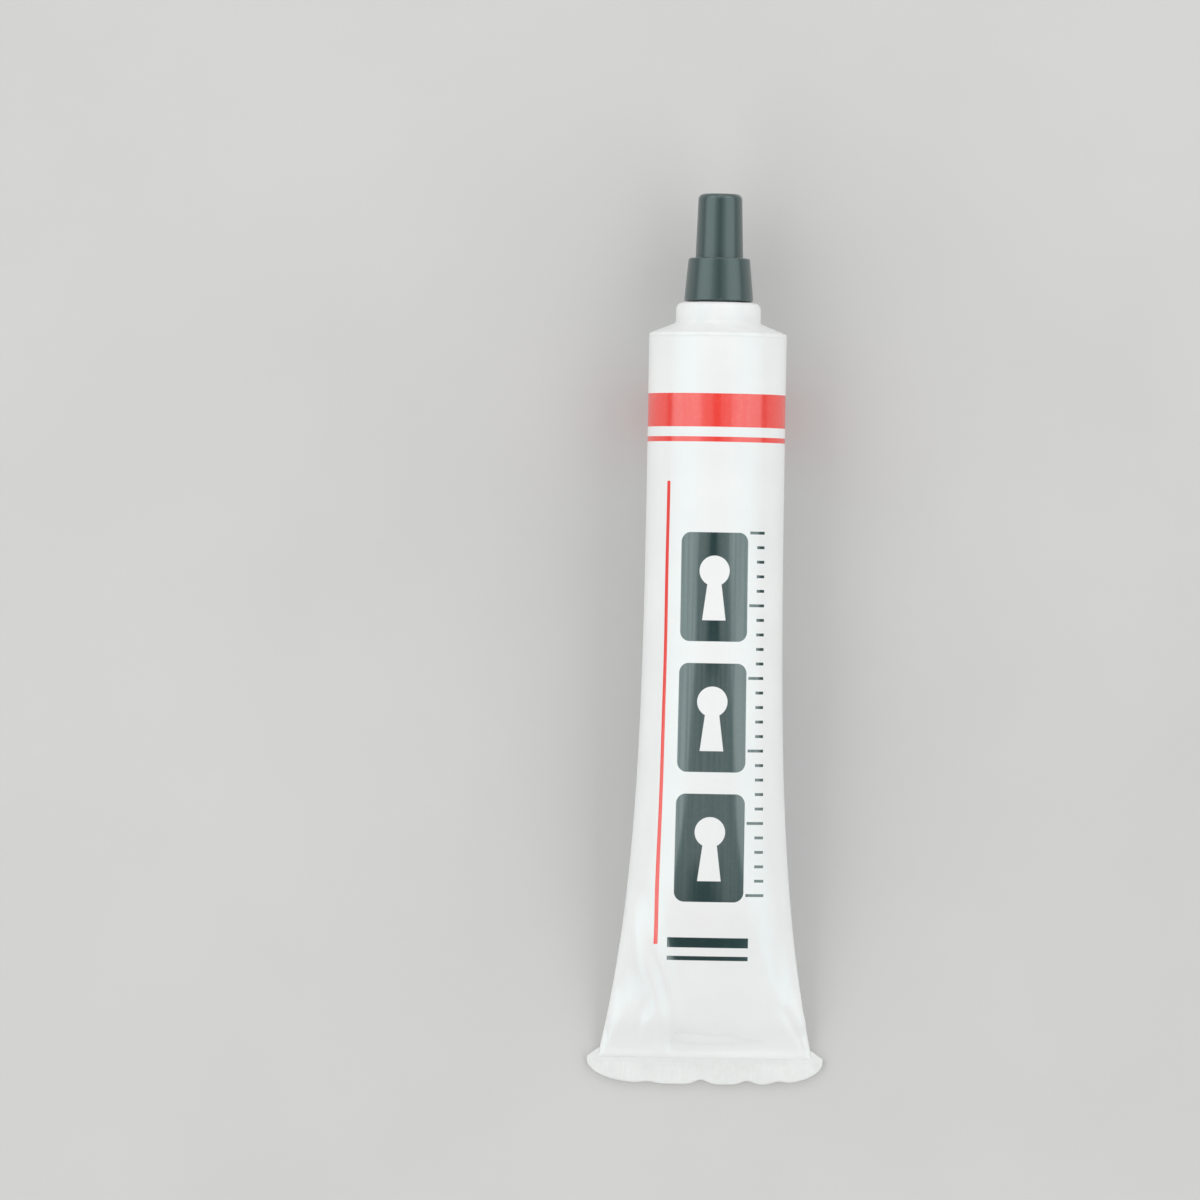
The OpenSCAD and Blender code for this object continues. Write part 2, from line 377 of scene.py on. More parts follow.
def set_shader(tree, **sockets):
    """Sets or links the shader's sockets. An underscore stands for a space in a socket's name."""
    named = {name.replace("_", " "): value for name, value in sockets.items()}
    Wire.plug(tree, tree.nodes["Principled BSDF"], named)


def noise(place, scale, detail=2.0, stretch=(1, 1, 1)):
    """Soft noise from 0 to 1. Scale counts its waves in a millimetre."""
    sockets = {"Vector": place.stretched(stretch), "Scale": scale, "Detail": detail}
    return Wire.node(place.tree, "ShaderNodeTexNoise", {}, sockets)


def tinted(share, plain, tint):
    """A colour between two colours."""
    return Wire.node(share.tree, "ShaderNodeMix", {"data_type": "RGBA"}, {0: share, 6: plain, 7: tint}, 2)


def bumped(height, depth):
    """A surface normal from a height of 0 to 1 that stands for this depth in mm."""
    return Wire.node(height.tree, "ShaderNodeBump", {}, {"Height": height, "Distance": depth * MM})


def ramp(value, low, high):
    """0 below low, 1 above high and straight between."""
    return value.math("MULTIPLY_ADD", value, 1 / (high - low), -low / (high - low), clamp=True)


print("finish helpers ready")

# %% [markdown]
# ## The print
# Such a tube is printed in red and black before it is cut. The print here is a plain pattern of its own:
# a red hoop and a thin ring near the cap, a column of black lock plates with a keyhole left white in
# each, a red line on one side, a tick scale on the other and two black bars by the tail. It could be
# painted as an image, but sums on the place along and round the sleeve stay sharp at any size. Each shape
# is a signed distance, below nought inside the ink, and `cover` turns that into ink with a crisp edge.

# %% Print shapes
INK_EDGE = 0.05


def cover(distance):
    """Full ink inside a shape, none outside it, and a narrow soft edge."""
    return distance.math("MULTIPLY_ADD", distance, -1 / INK_EDGE, 0.5, clamp=True)


def bar(across, along, left, right, start, end):
    """Signed distance to a bar between two places across and two along the sleeve."""
    beside = abs(across - (left + right) / 2) - (right - left) / 2
    return beside.at_least(abs(along - (start + end) / 2) - (end - start) / 2)


def disc(across, along, radius):
    return (across * across + along * along) ** 0.5 - radius


print(f"print helpers ready, ink edge {INK_EDGE} mm")

# %% [markdown]
# ### Red print
# Near the cap the red runs right round the tube, and one thin line follows it down. A hoop could be a
# ring of faces with a finish of its own, but ink has no thickness to speak of. In the shader a hoop is
# the simplest shape of all: it needs only the place along the sleeve, so it goes round by itself.

# %% Red print
HOOP_PLACE = 10.2
HOOP_HALF = 2.3
RING_PLACE = 14.2
RING_HALF = 0.35
SIDE_LINE = {"left": -7.5, "right": -6.9, "start": 20, "end": 84}


def red_print(across, along):
    hoop = abs(along - HOOP_PLACE) - HOOP_HALF
    ring = abs(along - RING_PLACE) - RING_HALF
    return cover(hoop.at_most(ring).at_most(bar(across, along, **SIDE_LINE)))


print(f"red print: hoop {2 * HOOP_HALF:.1f} mm, ring {2 * RING_HALF:.1f} mm and a side line")

# %% [markdown]
# ### Lock plates
# The plates look like the small cover of a lock with its keyhole. Three of them could be drawn one by
# one. But the remainder of the place along the sleeve, divided by the pitch, starts anew on each plate,
# so one set of sums makes the whole row. A rounded plate measures its corners to a disc. The keyhole is a
# disc joined to a flared slot, and the greater of two distances cuts it out of the plate.

# %% Lock plates
PLATES_START = 27
PLATES_END = 80
PLATE_PITCH = 18
PLATE_HALF_W = 4.8
PLATE_HALF_L = 7.5
PLATE_CORNER = 1.4
KEYHOLE_R = 2.1
KEYHOLE_UP = 2.2
SLOT_HALF_W = 0.75
SLOT_FLARE = 0.13
SLOT_PLACE = 1
SLOT_HALF_L = 3.6


def plate_print(across, along):
    """Rounded black plates in a column, each with a white keyhole whose round end is nearer the cap."""
    down = (along - PLATES_START) % PLATE_PITCH - PLATE_HALF_L
    corner_x = (abs(across) - (PLATE_HALF_W - PLATE_CORNER)).at_least(0)
    corner_s = (abs(down) - (PLATE_HALF_L - PLATE_CORNER)).at_least(0)
    plate = disc(corner_x, corner_s, PLATE_CORNER)
    flare = abs(across) - SLOT_HALF_W - SLOT_FLARE * (down + KEYHOLE_UP)
    slot = flare.at_least(abs(down - SLOT_PLACE) - SLOT_HALF_L)
    keyhole = disc(across, down + KEYHOLE_UP, KEYHOLE_R).at_most(slot)
    column = abs(along - (PLATES_START + PLATES_END) / 2) - (PLATES_END - PLATES_START) / 2
    return cover(plate.at_least(-1 * keyhole).at_least(column))


print("lock plates:", math.ceil((PLATES_END - PLATES_START) / PLATE_PITCH))

# %% [markdown]
# ### Tick scale and foot bars
# Beside the plates runs a scale such as a measuring tube has, with every fifth tick longer, and two bars
# close the print by the tail. An array of small meshes could stand for the ticks, but it would float off
# the soft wall where the folds press it. The same remainder with a smaller pitch keeps them in the ink.

# %% Tick scale and foot bars
TICKS_START = 27
TICKS_END = 77
TICK_PITCH = 2
TICK_HALF = 0.2
TICK_ACROSS = 7
TICK_HALF_L = 0.7
LONG_TICK_EXTRA = 0.6
BROAD_BAR = {"left": -5.6, "right": 5.6, "start": 83, "end": 84.4}
FINE_BAR = {"left": -5.6, "right": 5.6, "start": 85.6, "end": 86.2}


def from_nearest(along, pitch):
    """How far a place along the sleeve is from the nearest tick of a row with this pitch."""
    return abs((along - TICKS_START + pitch / 2) % pitch - pitch / 2)


def scale_print(across, along):
    """Ticks in a row, with every fifth one longer."""
    tick = from_nearest(along, TICK_PITCH) - TICK_HALF
    extra = LONG_TICK_EXTRA * (from_nearest(along, 5 * TICK_PITCH) < TICK_PITCH / 2)
    edge = abs(across - TICK_ACROSS + extra) - TICK_HALF_L - extra
    reach = abs(along - (TICKS_START + TICKS_END) / 2) - (TICKS_END - TICKS_START) / 2 - TICK_HALF
    return cover(tick.at_least(edge).at_least(reach))


def foot_print(across, along):
    return cover(bar(across, along, **BROAD_BAR).at_most(bar(across, along, **FINE_BAR)))


print("ticks:", (TICKS_END - TICKS_START) // TICK_PITCH + 1)

# %% [markdown]
# ## The sleeve's finish
# The sleeve is soft white polyethylene: half gloss, faintly see-through, with fine lines along it from
# the die that it was drawn through, and a slight waviness. Its sheen is a little cool, which is the
# specular tint. Ink lies on it under a film of varnish, which is the shader's coat. A high index gives
# black ink its strong slate sheen under a lamp, and the film follows the die lines, so the sheen is
# streaked. The ink is a little thinner in places. A painted image would blur close up, so the finish is
# worked out from places. The grown mesh carries each point's place round and along the sleeve in
# `tube_mm`, and the print reads that.

# %% Sleeve finish
WHITE = (0.88, 0.875, 0.868, 1)
WHITE_DEEP = (0.835, 0.83, 0.826, 1)
COOL_SHEEN = (0.4, 1, 0.98, 1)
INK_RED = (0.88, 0.036, 0.024, 1)
INK_RED_THIN = (0.9, 0.06, 0.042, 1)
INK_BLACK = (0.007, 0.02, 0.021, 1)
INK_BLACK_THIN = (0.014, 0.032, 0.033, 1)


def sleeve_finish():
    finish, tree, spot = new_finish("soft_white_printed")
    place = Wire.node(tree, "ShaderNodeAttribute", {"attribute_name": "tube_mm"}, {}, "Vector")
    across, along = place.part("X"), place.part("Y")
    red = red_print(across, along)
    black = plate_print(across, along).at_least(scale_print(across, along))
    black = black.at_least(foot_print(across, along))
    cloud = noise(spot, 0.09, 3.0)
    drawn = noise(place, 1.0, 3.0, (2.6, 0.03, 1))
    peel = noise(spot, 0.8, 2.0)
    thin = ramp(noise(spot, 1.6, 4.0), 0.5, 0.75)
    white = tinted(ramp(cloud, 0.35, 0.75), WHITE, WHITE_DEEP)
    colour = tinted(red, white, tinted(thin, INK_RED, INK_RED_THIN))
    colour = tinted(black, colour, tinted(thin, INK_BLACK, INK_BLACK_THIN))
    height = 0.35 * drawn + 0.3 * peel + 0.2 * red.at_least(black)
    set_shader(
        tree,
        Base_Color=colour,
        Roughness=0.3 + 0.1 * (drawn - 0.5) + 0.08 * (cloud - 0.5),
        Normal=bumped(height, 0.03),
        IOR=1.65,
        Specular_Tint=COOL_SHEEN,
        Coat_Weight=(0.5 * red + black) * ramp(drawn, -0.2, 0.6),
        Coat_Roughness=0.16,
        Coat_IOR=2.1,
        Subsurface_Weight=0.08,
        Subsurface_Radius=(1.0, 0.95, 0.9),
        Subsurface_Scale=0.4 * MM,
    )
    return finish


sleeve_white = sleeve_finish()
print("finish:", sleeve_white.name)

# %% [markdown]
# ## The sleeve
# On the real tube the sleeve is a drawn pipe, cut to length, welded to the head at one end and pressed
# flat and fused at the other after filling. Its rule is a flat-sided oval: two straight stretches joined
# by two half circles. Near the rim the straights have no length, and near the tail the half circles have
# hardly any height. The grid's columns run round the girth from the line under the tube, over the top and
# back. Its rows run up the outside from tail to rim, over the lip and down the inside, so outside, lip
# and inside are one closed skin. The first and last rows close flat on the middle plane.

# %% Sleeve rule
PINCH_HALF_H = 0.3


def girth_place(share, along, inset):
    """Where a share of the half girth from the top line lies on a ring, and how far round that is."""
    mid = half_height(along)
    half_h = mid - inset
    flat = half_width(along) - mid
    run = abs(share) * (2 * flat + math.pi * half_h)
    turn = ((run - flat) / half_h).at_least(0).at_most(math.pi)
    under = (run - flat - math.pi * half_h).at_least(0)
    side = share.math("SIGN", share)
    return side * (run.at_most(flat) + half_h * turn.sin() - under), mid + half_h * turn.cos(), side * run


def sleeve_tree(sizes):
    tree, size = new_tree("sleeve_rule", sizes)
    rows = size["Outer Steps"] + size["Inner Steps"] + 4
    grid, share, up = new_grid(tree, 2, 1, size["Girth Steps"] + 1, rows)
    row = (up + 0.5) * (rows - 1)
    inside = row > size["Outer Steps"] + 1.5
    outer = (1 - (row - 1) / size["Outer Steps"]).at_least(0).at_most(1)
    inner = ((row - size["Outer Steps"] - 2) / size["Inner Steps"]).at_least(0).at_most(1)
    along = outer * (1 - inside) + inner * inside * size["Inner End"]
    closing = (row < 0.5) + (row > rows - 1.5)
    x, z, run = girth_place(share, along, size["Wall"] * inside)
    mid = half_height(along)
    length = along * size["Length"]
    place = vector(x, size["Rim Y"] - length, mid + (z - mid) * (1 - closing))
    marks = {"Geometry": grid, "Name": "tube_mm", "Value": vector(run, length, inside)}
    kept = {"data_type": "FLOAT_VECTOR", "domain": "CORNER"}
    grid = Wire.node(tree, "GeometryNodeStoreNamedAttribute", kept, marks)
    close_tree(grid, place, size["Finish"])
    return tree


sleeve_sizes = {
    "Length": float(SLEEVE_LEN),
    "Rim Y": rim_y,
    "Wall": SLEEVE_WALL,
    "Inner End": share_at(SLEEVE_WALL + PINCH_HALF_H),
    "Girth Steps": 256,
    "Outer Steps": 320,
    "Inner Steps": 24,
    "Finish": sleeve_white,
}
sleeve = grown("sleeve_wall", sleeve_tree(sleeve_sizes), sleeve_sizes)
print("sleeve:", len(sleeve.data.vertices), "points")

# %% [markdown]
# ## Soft folds
# Pressing the tail flat leaves soft folds: a long one that stands up on the left side, a short hollow
# next to it, a crease in the right corner, a shallow dip under the round bottom of the filling, and a
# bead where the jaws pushed plastic aside. Just above the jaws the wall is drawn in, so it runs out flat
# into the band, and the upper half gives way towards its sides, so that the oval turns into a lens. No
# rule gives these, so they are pressed into the mesh one by one. A cloth simulation could crumple the
# tail, but not into these few known folds. Each fold is a path of (across, along) points, a depth and a
# width.
# Along it the wall sinks, and a ridge rises on the side that is nearer +X. A depth below nought turns
# that round: the path stands up and the wall beside it sinks.

# %% Press the folds
FOLDS = [
    ([(-10.8, 77), (-9.2, 86), (-7.8, 89.5), (-6.8, 93), (-6.1, 97), (-5.6, 103)], -0.46, 1.2),
    ([(-8, 91.5), (-9.2, 94.8), (-9.8, 97.8)], 0.16, 0.7),
    ([(10.6, 92.6), (12.4, 95.8), (14.4, 98.6)], 0.35, 0.8),
    ([(9.8, 83), (10.6, 91)], 0.14, 1.0),
    ([(-2.6, 96.2), (1.2, 97.8)], 0.1, 0.6),
]
FOLD_FADE = 1.8
RIDGE_SHARE = 0.7
RIDGE_PLACE = 1.9
FILLING_BOTTOM = 94.6
FILLING_CURVE = 0.07
DIP_DEPTH = 0.26
DIP_SLOPE = 3.4
EASE_START = 94.5
EASE_DEPTH = 0.5
EASE_SLOPE = 3.2
BEAD_PLACE = 99.75
BEAD_HEIGHT = 0.15
BEAD_HALF = 0.45
CROWN = 0.012
CROWN_START = 45
CROWN_SLOPE = 30
WAVE_DEPTH = 0.05
PRESS_LIMIT = 0.6


def smooth(value):
    value = np.clip(value, 0, 1)
    return value * value * (3 - 2 * value)


def fold_lift(across, along, path, depth, width):
    """How far a fold moves the wall at these places: down along its path, and up a little beside it."""
    path = np.array(path, float)
    steps = np.diff(path, axis=0)
    lengths = np.hypot(steps[:, 0], steps[:, 1])
    nearest = np.full(len(across), np.inf)
    offset, progress = np.zeros(len(across)), np.zeros(len(across))
    for start, step, length, done in zip(path, steps, lengths, np.cumsum(lengths) - lengths):
        dx, ds = across - start[0], along - start[1]
        share = np.clip((dx * step[0] + ds * step[1]) / length**2, 0, 1)
        gap = np.hypot(dx - share * step[0], ds - share * step[1])
        nearer = gap < nearest
        nearest = np.where(nearer, gap, nearest)
        offset = np.where(nearer, (dx * step[1] - ds * step[0]) / length, offset)
        progress = np.where(nearer, (done + share * length) / lengths.sum(), progress)
    valley = np.exp(-((nearest / width) ** 2))
    ridge = np.exp(-((offset / width - RIDGE_PLACE) ** 2)) * smooth(3 - nearest / (1.5 * width))
    return depth * (RIDGE_SHARE * ridge - valley) * np.sin(math.pi * progress) ** 0.5


def tail_lift(across, along):
    """How far the dip under the filling, the drawn-in end and the bead move the wall."""
    filling = FILLING_BOTTOM - FILLING_CURVE * (across + 0.5) ** 2
    dip = smooth((along - filling) / DIP_SLOPE) * smooth((across + 8) / 5) * smooth((11 - across) / 4)
    ease = smooth((along - EASE_START) / EASE_SLOPE) * smooth((SLEEVE_LEN + 0.3 - along) / 2.2)
    bead = np.exp(-(((along - BEAD_PLACE) / BEAD_HALF) ** 2))
    return BEAD_HEIGHT * bead - EASE_DEPTH * ease - DIP_DEPTH * dip * smooth((SLEEVE_LEN - along) / 2.5)


def lens_squeeze(across, along, mid):
    """The share of its height that the upper half loses there as the flattened oval turns into a lens."""
    fade = smooth((along - CROWN_START) / CROWN_SLOPE) * smooth((SLEEVE_LEN - along) / 10)
    return np.minimum(CROWN * across**2 / mid, 0.5) * fade


def soften(piece):
    """Presses the folds and the tail's other soft forms into the upper side of a piece of the sleeve."""
    spots = np.empty(len(piece.data.vertices) * 3, np.float32)
    piece.data.vertices.foreach_get("co", spots)
    spots = spots.reshape(-1, 3) / MM
    across, height = spots[:, 0], spots[:, 2]
    along = np.clip(rim_y - spots[:, 1], 0, SLEEVE_LEN)
    mid = half_height(along / SLEEVE_LEN)
    flat = half_width(along / SLEEVE_LEN) - mid
    out = np.stack([across - np.clip(across, -flat, flat), height - mid], 1)
    out /= np.hypot(out[:, 0], out[:, 1])[:, None] + SEAM
    lift = sum(fold_lift(across, along, *fold) for fold in FOLDS)
    lift = lift * smooth((SLEEVE_LEN + 0.4 - along) / FOLD_FADE) + tail_lift(across, along)
    wave = 1 + np.sin(along * 0.21 + across * 0.3) * np.sin(along * 0.083 - 1)
    lift -= WAVE_DEPTH * smooth(along / 20) * wave
    lift = np.maximum(lift, -PRESS_LIMIT * np.maximum(height - mid, 0)) * smooth((out[:, 1] - 0.05) / 0.3)
    crown = lens_squeeze(across, along, mid) * np.maximum(height - mid, 0)
    spots[:, 0] += lift * out[:, 0]
    spots[:, 2] += lift * out[:, 1] - crown
    piece.data.vertices.foreach_set("co", (spots * MM).ravel())
    piece.data.update()
    print(f"{piece.name}: pressed by {-lift.min():.2f} mm, raised by {lift.max():.2f} mm at most")


soften(sleeve)
hand_over(sleeve, "tube", "sleeve")

# %% [markdown]
# ## The crimped band
# The last few millimetres of the sleeve are fused between toothed jaws, which print a row of fine ridges
# across the band, and the end is trimmed a little unevenly. Pressing spreads the band past the sleeve
# into two ears. It could be a displaced plane, but the ridges, the groove under the bead, the notches and
# the ears all follow from the place across and along the band, so a second tree grows it: its rows go out
# over the top and back below, and every edge closes to the middle plane like a pinched rim.

# %% Band finish
FUSED = (0.735, 0.75, 0.74, 1)
FUSED_PALE = (0.785, 0.8, 0.79, 1)


def band_finish():
    finish, tree, spot = new_finish("fused_white")
    cloud = noise(spot, 0.5, 3.0)
    crush = noise(spot, 4.0, 2.0)
    set_shader(
        tree,
        Base_Color=tinted(ramp(cloud, 0.3, 0.7), FUSED, FUSED_PALE),
        Roughness=0.36 + 0.14 * (crush - 0.5),
        Normal=bumped(crush, 0.02),
        Subsurface_Weight=0.1,
        Subsurface_Radius=(1.0, 0.9, 0.85),
        Subsurface_Scale=0.4 * MM,
    )
    return finish


fused_white = band_finish()
print("finish:", fused_white.name)

# %% Band rule
NOTCHES = [(-0.48, 0.4), (-0.03, 1), (0.36, 0.85), (0.62, 0.55)]
NOTCH_HALF_W = 1.2
EAR_TIP_LEN = 0.6
EAR_SLOPE_W = 1.6
ROOT_LEN = 1.2
GROOVE_PLACE = 0.75
GROOVE_HALF = 0.16
RIDGES_START = 0.8


def gauss(value):
    return value.math("EXPONENT", -1 * value * value)


def band_tree(sizes):
    tree, size = new_tree("band_rule", sizes)
    grid, share, around = new_grid(tree, 2, 2, size["Columns"], size["Rows"])
    x = share * size["Half Width"]
    out = 1 - abs(around)
    edge = EAR_TIP_LEN + (size["Length"] - EAR_TIP_LEN) * (1 - abs(share) ** 5).at_least(0) ** 0.6
    for place, depth in NOTCHES:
        edge = edge - size["Notch Depth"] * depth * gauss((x - place * size["Half Width"]) / NOTCH_HALF_W)
    root = ROOT_LEN * ((size["Half Width"] - abs(x)) / EAR_SLOPE_W).at_most(1)
    length = out * (edge + root) - root
    pinch = (1 - abs(share) ** 90).at_least(0) * (1 - abs(2 * out - 1) ** 24).at_least(0)
    ridged = ramp(length, RIDGES_START, RIDGES_START + 0.3) * ramp(edge - length, 0.25, 0.6)
    ridge = (0.5 + 0.5 * (x * (2 * math.pi / size["Ridge Pitch"])).cos()) * ridged
    groove = gauss((length - GROOVE_PLACE) / GROOVE_HALF)
    half_t = size["Thickness"] / 2
    half = (half_t - size["Ridge Depth"] * (ridge + groove)) * pinch**0.5
    upper = 1 - 2 * (around > 0)
    place = vector(x, size["Start Y"] - length, half_t + half * upper)
    close_tree(grid, place, size["Finish"])
    return tree


band_sizes = {
    "Half Width": band_half_w,
    "Length": BAND_LEN,
    "Thickness": BAND_THICKNESS,
    "Start Y": rim_y - SLEEVE_LEN,
    "Notch Depth": 0.65,
    "Ridge Pitch": 0.72,
    "Ridge Depth": 0.07,
    "Columns": 461,
    "Rows": 81,
    "Finish": fused_white,
}
band = grown("tail_band", band_tree(band_sizes), band_sizes)
hand_over(band, "tube", "sleeve")

# %% [markdown]
# ## Threads
# The neck carries a right-handed thread of two turns, and the cap carries its partner inside the skirt. A
# thread is the textbook case of a shape that follows a path: the grid's columns run along the helix and
# its rows run round a rounded ridge. A Screw modifier would do it as well, but this tree also lets both
# ends fade into the wall, as on a moulded thread. `Side` is 1 for a ridge on a shaft and -1 for one in a
# bore.

# %% Thread rule
THREAD_PITCH = 1.5
THREAD_TURNS = 2.0
THREAD_DEPTH = 0.5
THREAD_FOOT = 0.7
THREAD_FADE = 0.09
THREAD_SINK = 0.3
THREAD_TAPER = 0.4


def thread_tree(sizes):
    tree, size = new_tree("thread_rule", sizes)
    grid, along, around = new_grid(tree, 1, 2 * math.pi, size["Length Steps"], size["Round Steps"])
    along = along + 0.5
    fade = (along.at_most(1 - along) / THREAD_FADE).at_most(1)
    rise = around.sin().at_least(-THREAD_SINK)
    radius = size["Wall Radius"] + size["Side"] * THREAD_DEPTH * fade * rise
    lean = THREAD_FOOT / 2 * fade * around.cos() * (1 - THREAD_TAPER * rise.at_least(0))
    turn = along * (2 * math.pi * THREAD_TURNS)
    height = size["Start Y"] + along * (THREAD_PITCH * THREAD_TURNS) + lean
    place = vector(radius * turn.cos(), height, axis_z - radius * turn.sin())
    close_tree(grid, place, size["Finish"])
    return tree


def thread(name, wall_r, side, start_y, finish):
    sizes = {
        "Wall Radius": wall_r,
        "Side": side,
        "Start Y": start_y,
        "Length Steps": 161,
        "Round Steps": 21,
        "Finish": finish,
    }
    return grown(name, thread_tree(sizes), sizes)


print("thread rule ready")

# %% [markdown]
# ## The head
# The head is one white moulding: a spigot welded into the sleeve, a sloping shoulder, a plain collar, the
# threaded neck and a slim nozzle. Its finish is a little duller than the sleeve's, with faint flow marks
# from the mould. The profile goes up the outside and comes back down the inside.

# %% Head
SPIGOT_R = 8.95
SPIGOT_BORE_R = 7.95
COLLAR_R = 5.85
COLLAR_BORE_R = 4.85
NECK_R = 2.75
THROAT_R = 1.75
NOZZLE_ROOT_R = 2.2
NOZZLE_TIP_R = 1.5
OUTLET_R = 0.6
SPIGOT_LEN = 3
SHOULDER_LOW = 0.48
SHOULDER_TOP = 1.96
SEAT_H = 4.8
NECK_TOP = 9.8
NOZZLE_TOP = 17.8
OUTLET_LOW = 14.3
THROAT_LOW = 4.3
COLLAR_BORE_TOP = 3.8
COLLAR_BORE_LOW = 1.2
SPIGOT_BORE_TOP = -0.6
NECK_THREAD_START = 5.8
MICRO = 0.06

HEAD_CORNERS = [
    (SPIGOT_BORE_R, -SPIGOT_LEN, MICRO),
    (SPIGOT_R, -SPIGOT_LEN, MICRO),
    (SPIGOT_R, 0, 0),
    (sleeve_r, 0, MICRO),
    (sleeve_r, SHOULDER_LOW, 0.4),
    (COLLAR_R, SHOULDER_TOP, 0.5),
    (COLLAR_R, SEAT_H, 0.9),
    (NECK_R, SEAT_H, 0.15),
    (NECK_R, NECK_TOP, 0.15),
    (NOZZLE_ROOT_R, NECK_TOP, 0.1),
    (NOZZLE_TIP_R, NOZZLE_TOP, 0.25),
    (OUTLET_R, NOZZLE_TOP, 0.15),
    (OUTLET_R, OUTLET_LOW, 0.1),
    (THROAT_R, NECK_TOP, 0.2),
    (THROAT_R, THROAT_LOW, 0.1),
    (COLLAR_BORE_R, COLLAR_BORE_TOP, 0.2),
    (COLLAR_BORE_R, COLLAR_BORE_LOW, 0.2),
    (SPIGOT_BORE_R, SPIGOT_BORE_TOP, 0.2),
]


def head_finish():
    finish, tree, spot = new_finish("satin_white")
    flow = noise(spot, 0.35, 2.0, (1, 0.4, 1))
    grain = noise(spot, 7.0, 2.0)
    set_shader(
        tree,
        Base_Color=tinted(ramp(flow, 0.4, 0.7), WHITE, WHITE_DEEP),
        Roughness=0.38 + 0.12 * (flow - 0.5) + 0.06 * (grain - 0.5),
        Normal=bumped(grain, 0.006),
        IOR=1.65,
        Specular_Tint=COOL_SHEEN,
        Subsurface_Weight=0.08,
        Subsurface_Radius=(1.0, 0.95, 0.9),
        Subsurface_Scale=0.4 * MM,
    )
    return finish


head_white = head_finish()
head = lathe("head_moulding", rounded(HEAD_CORNERS), rim_y, head_white)
add_mesh(head, thread("neck_thread", NECK_R, 1.0, rim_y + NECK_THREAD_START, head_white))
hand_over(head, "tube", "head")

# %% [markdown]
# ## The cap
# The cap is one black moulding: a flared skirt over the neck and a tall tip over the nozzle, closed at
# its end. Black plastic is never quite black: it has a fine grain from the mould, handling polishes it in
# places, and its edges go grey where they rub. The edges are found by their place along the tube, and
# noise breaks the wear up.

# %% Cap finish
CAP_BLACK = (0.016, 0.034, 0.033, 1)
CAP_GREY = (0.075, 0.105, 0.102, 1)
SKIRT_LEN = 6
CAP_LEN = 14.9


def cap_finish():
    finish, tree, spot = new_finish("black_moulded")
    height = spot.part("Y") - mouth_y
    near_skirt = gauss(height / 0.35) + gauss((height - SKIRT_LEN + 0.1) / 0.25)
    near_edge = near_skirt + gauss((height - CAP_LEN + 0.3) / 0.4)
    patch = noise(spot, 1.1, 3.0)
    grain = noise(spot, 9.0, 2.0)
    scratch = ramp(noise(spot, 1.2, 2.0, (5, 0.5, 5)), 0.66, 0.72)
    wear = (near_edge * ramp(patch, 0.45, 0.7) * 0.5 + 0.25 * scratch).at_most(1)
    set_shader(
        tree,
        Base_Color=tinted(wear, CAP_BLACK, CAP_GREY),
        Roughness=0.36 + 0.14 * (patch - 0.5) + 0.12 * wear + 0.05 * (grain - 0.5),
        Normal=bumped(grain, 0.006),
        Specular_Tint=COOL_SHEEN,
        Coat_Weight=0.9,
        Coat_Roughness=0.3,
        Coat_IOR=1.75,
    )
    return finish


cap_black = cap_finish()
print("finish:", cap_black.name)

# %% Cap
TIP_R = 3.02
TIP_ROOT_R = 3.3
TIP_BORE_R = 2.45
SKIRT_TOP_R = 4.25
SKIRT_R = 4.8
SKIRT_BORE_R = 3.5
SKIRT_BORE_TOP = 5.25
TIP_BORE_TOP = 13.7
CAP_THREAD_START = 1.6
MOUTH_CHAMFER = 0.35

CAP_CORNERS = [
    (0, CAP_LEN, 0),
    (TIP_R, CAP_LEN, 0.8),
    (TIP_ROOT_R, SKIRT_LEN, 0.12),
    (SKIRT_TOP_R, SKIRT_LEN, 0.3),
    (SKIRT_R, 0, 0.3),
    (SKIRT_BORE_R + MOUTH_CHAMFER, 0, MICRO),
    (SKIRT_BORE_R, MOUTH_CHAMFER, MICRO),
    (SKIRT_BORE_R, SKIRT_BORE_TOP, 0.15),
    (TIP_BORE_R, SKIRT_BORE_TOP, 0.1),
    (TIP_BORE_R, TIP_BORE_TOP, 0.1),
    (0, TIP_BORE_TOP, 0),
]
cap = lathe("screw_cap", rounded(CAP_CORNERS), mouth_y, cap_black)
add_mesh(cap, thread("cap_thread", SKIRT_BORE_R, -1.0, mouth_y + CAP_THREAD_START, cap_black))
hand_over(cap, "screw_cap", "cap")

# %% [markdown]
# ## The sealing wad
# A soft foam disc sits in the closed end of the cap and stops the nozzle. It is out of sight, but it gets
# what a real one has: rounded edges, a foam's fine cells, and a ring that the nozzle has pressed into it.

# %% Wad
WAD_R = 2.35
WAD_THICKNESS = 0.8
PRESS_MARK = 0.06
FOAM = (0.8, 0.8, 0.78, 1)
FOAM_DEEP = (0.7, 0.7, 0.68, 1)

WAD_CORNERS = [
    (0, 0, 0),
    (0.7, 0, 0.1),
    (0.85, PRESS_MARK, 0.1),
    (1.35, PRESS_MARK, 0.1),
    (1.5, 0, 0.1),
    (WAD_R, 0, 0.12),
    (WAD_R, WAD_THICKNESS, 0.12),
    (0, WAD_THICKNESS, 0),
]


def wad_finish():
    finish, tree, spot = new_finish("pale_foam")
    cells = Wire.node(tree, "ShaderNodeTexVoronoi", {}, {"Vector": spot, "Scale": 5.0})
    tone = noise(spot, 1.2, 2.0)
    set_shader(
        tree,
        Base_Color=tinted(ramp(tone, 0.35, 0.7), FOAM, FOAM_DEEP),
        Roughness=0.75 + 0.2 * (tone - 0.5),
        Normal=bumped(cells, 0.03),
    )
    return finish


wad = lathe("foam_wad", rounded(WAD_CORNERS), wad_y, wad_finish())
hand_over(wad, "wad", "sealing_wad")

